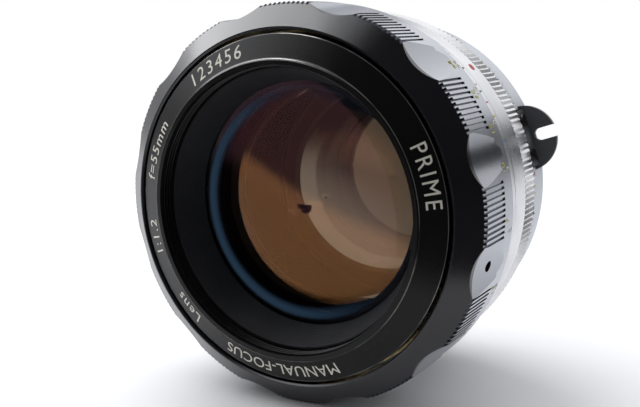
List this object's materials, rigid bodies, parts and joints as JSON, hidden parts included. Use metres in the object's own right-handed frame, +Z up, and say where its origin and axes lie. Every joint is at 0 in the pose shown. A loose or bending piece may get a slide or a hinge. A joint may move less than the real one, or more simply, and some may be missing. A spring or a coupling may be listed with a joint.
{
  "type": "camera lens",
  "caption": "Manual prime lens for an SLR camera: scalloped ribbed focus ring, chrome index and milled rings, aperture ring with coupling prong, leaf iris, bayonet mount and filter thread.",
  "frame": {"origin": "centre of the mount flange face, on the optical axis", "axes": "the lens lies on its side: -Y is the optical axis out of the front, +Y out of the mount, +Z up, +X to the right seen from the front"},
  "size_m": [0.0733, 0.0572, 0.0726],
  "materials": {
    "face_black": "satin black anodised, engraved lettering filled with white",
    "baffle_black": "matt black anodised",
    "inner_black": "matt black anodised",
    "rear_black": "semi-matt black anodised",
    "front_glass": "optical glass with a single-layer coating",
    "inner_glass": "optical glass with an amber coating",
    "rear_glass": "optical glass with a coating",
    "brass": "turned brass, greased",
    "blade_steel": "blackened spring steel",
    "grip_enamel": "glossy black enamel, worn at the edges",
    "screw_black": "blackened steel",
    "satin_chrome": "satin chrome plate",
    "bright_chrome": "bright chrome plate on milled ribs",
    "mount_chrome": "turned chrome plate",
    "index_red": "paint in a drilled dot",
    "steel": "steel",
    "ring_enamel": "glossy black enamel",
    "prong_black": "black enamelled steel"
  },
  "bodies": {
    "barrel": {"main_barrel": "inner_black", "index_barrel": "satin_chrome", "milled_ring": "bright_chrome", "index_dot": "index_red", "focus_keys": "brass", "click_ball": "steel", "click_spring": "steel", "rear_baffle": "inner_black", "mount_plate": "mount_chrome", "mount_screws": "steel"},
    "optical_unit": {"name_ring": "face_black", "front_baffle": "baffle_black", "front_cell": "inner_black", "front_spacer": "inner_black", "lens_1": "front_glass", "lens_2": "inner_glass", "lens_3": "inner_glass", "optic_sleeve": "brass", "iris_housing": "inner_black", "rear_cell": "rear_black", "lens_4": "inner_glass", "lens_5": "inner_glass", "lens_6": "inner_glass", "lens_7": "rear_glass", "mid_spacer": "inner_black", "rear_spacer": "inner_black", "rear_retainer": "rear_black"},
    "focus_ring": {"focus_grip": "grip_enamel", "focus_sleeve": "brass", "focus_screws": "screw_black"},
    "aperture_control": {"aperture_ring": "ring_enamel", "control_ring": "brass", "link_screw": "screw_black", "coupling_prong": "prong_black", "prong_screws": "screw_black"},
    "iris_cam": {"iris_cam_ring": "brass"},
    "lever": {"stop_lever": "steel"},
    "blade_1": {"iris_blade_1": "blade_steel"},
    "blade_2": {"iris_blade_2": "blade_steel"},
    "blade_3": {"iris_blade_3": "blade_steel"},
    "blade_4": {"iris_blade_4": "blade_steel"},
    "blade_5": {"iris_blade_5": "blade_steel"},
    "blade_6": {"iris_blade_6": "blade_steel"},
    "blade_7": {"iris_blade_7": "blade_steel"}
  },
  "joints": [
    {"name": "focus_slide", "type": "slide", "parent": "barrel", "child": "optical_unit", "axis": [0, -1, 0], "range_m": [0, 0.0063]},
    {"name": "focus_turn", "type": "hinge", "parent": "optical_unit", "child": "focus_ring", "pos_m": [0, -0.038, 0], "axis": [0, -1, 0], "range_deg": [0, 190]},
    {"name": "aperture_turn", "type": "hinge", "parent": "barrel", "child": "aperture_control", "pos_m": [0, -0.008, 0], "axis": [0, -1, 0], "range_deg": [0, 52]},
    {"name": "iris_cam_turn", "type": "hinge", "parent": "optical_unit", "child": "iris_cam", "pos_m": [0, -0.018, 0], "axis": [0, -1, 0], "range_deg": [0, 52]},
    {"name": "lever_swing", "type": "hinge", "parent": "barrel", "child": "lever", "pos_m": [0, 0, 0], "axis": [0, -1, 0], "range_deg": [0, 18], "stiffness_Nm_per_rad": 0.01, "springref_deg": -22.92},
    {"name": "blade_1_swing", "type": "hinge", "parent": "optical_unit", "child": "blade_1", "pos_m": [0.0248, -0.0206, 0], "axis": [0, 1, 0], "range_deg": [0, 35]},
    {"name": "blade_2_swing", "type": "hinge", "parent": "optical_unit", "child": "blade_2", "pos_m": [0.01546, -0.0206, 0.01939], "axis": [0, 1, 0], "range_deg": [0, 35]},
    {"name": "blade_3_swing", "type": "hinge", "parent": "optical_unit", "child": "blade_3", "pos_m": [-0.00552, -0.0206, 0.02418], "axis": [0, 1, 0], "range_deg": [0, 35]},
    {"name": "blade_4_swing", "type": "hinge", "parent": "optical_unit", "child": "blade_4", "pos_m": [-0.02234, -0.0206, 0.01076], "axis": [0, 1, 0], "range_deg": [0, 35]},
    {"name": "blade_5_swing", "type": "hinge", "parent": "optical_unit", "child": "blade_5", "pos_m": [-0.02234, -0.0206, -0.01076], "axis": [0, 1, 0], "range_deg": [0, 35]},
    {"name": "blade_6_swing", "type": "hinge", "parent": "optical_unit", "child": "blade_6", "pos_m": [-0.00552, -0.0206, -0.02418], "axis": [0, 1, 0], "range_deg": [0, 35]},
    {"name": "blade_7_swing", "type": "hinge", "parent": "optical_unit", "child": "blade_7", "pos_m": [0.01546, -0.0206, -0.01939], "axis": [0, 1, 0], "range_deg": [0, 35]}
  ],
  "couplings": [
    {"joint": "focus_slide", "follows": "focus_turn", "m_per_rad": 0.0018998},
    {"joint": "iris_cam_turn", "follows": "aperture_turn", "ratio": 1},
    {"joint": "blade_1_swing", "follows": "aperture_turn", "ratio": 0.67308},
    {"joint": "blade_2_swing", "follows": "aperture_turn", "ratio": 0.67308},
    {"joint": "blade_3_swing", "follows": "aperture_turn", "ratio": 0.67308},
    {"joint": "blade_4_swing", "follows": "aperture_turn", "ratio": 0.67308},
    {"joint": "blade_5_swing", "follows": "aperture_turn", "ratio": 0.67308},
    {"joint": "blade_6_swing", "follows": "aperture_turn", "ratio": 0.67308},
    {"joint": "blade_7_swing", "follows": "aperture_turn", "ratio": 0.67308}
  ]
}
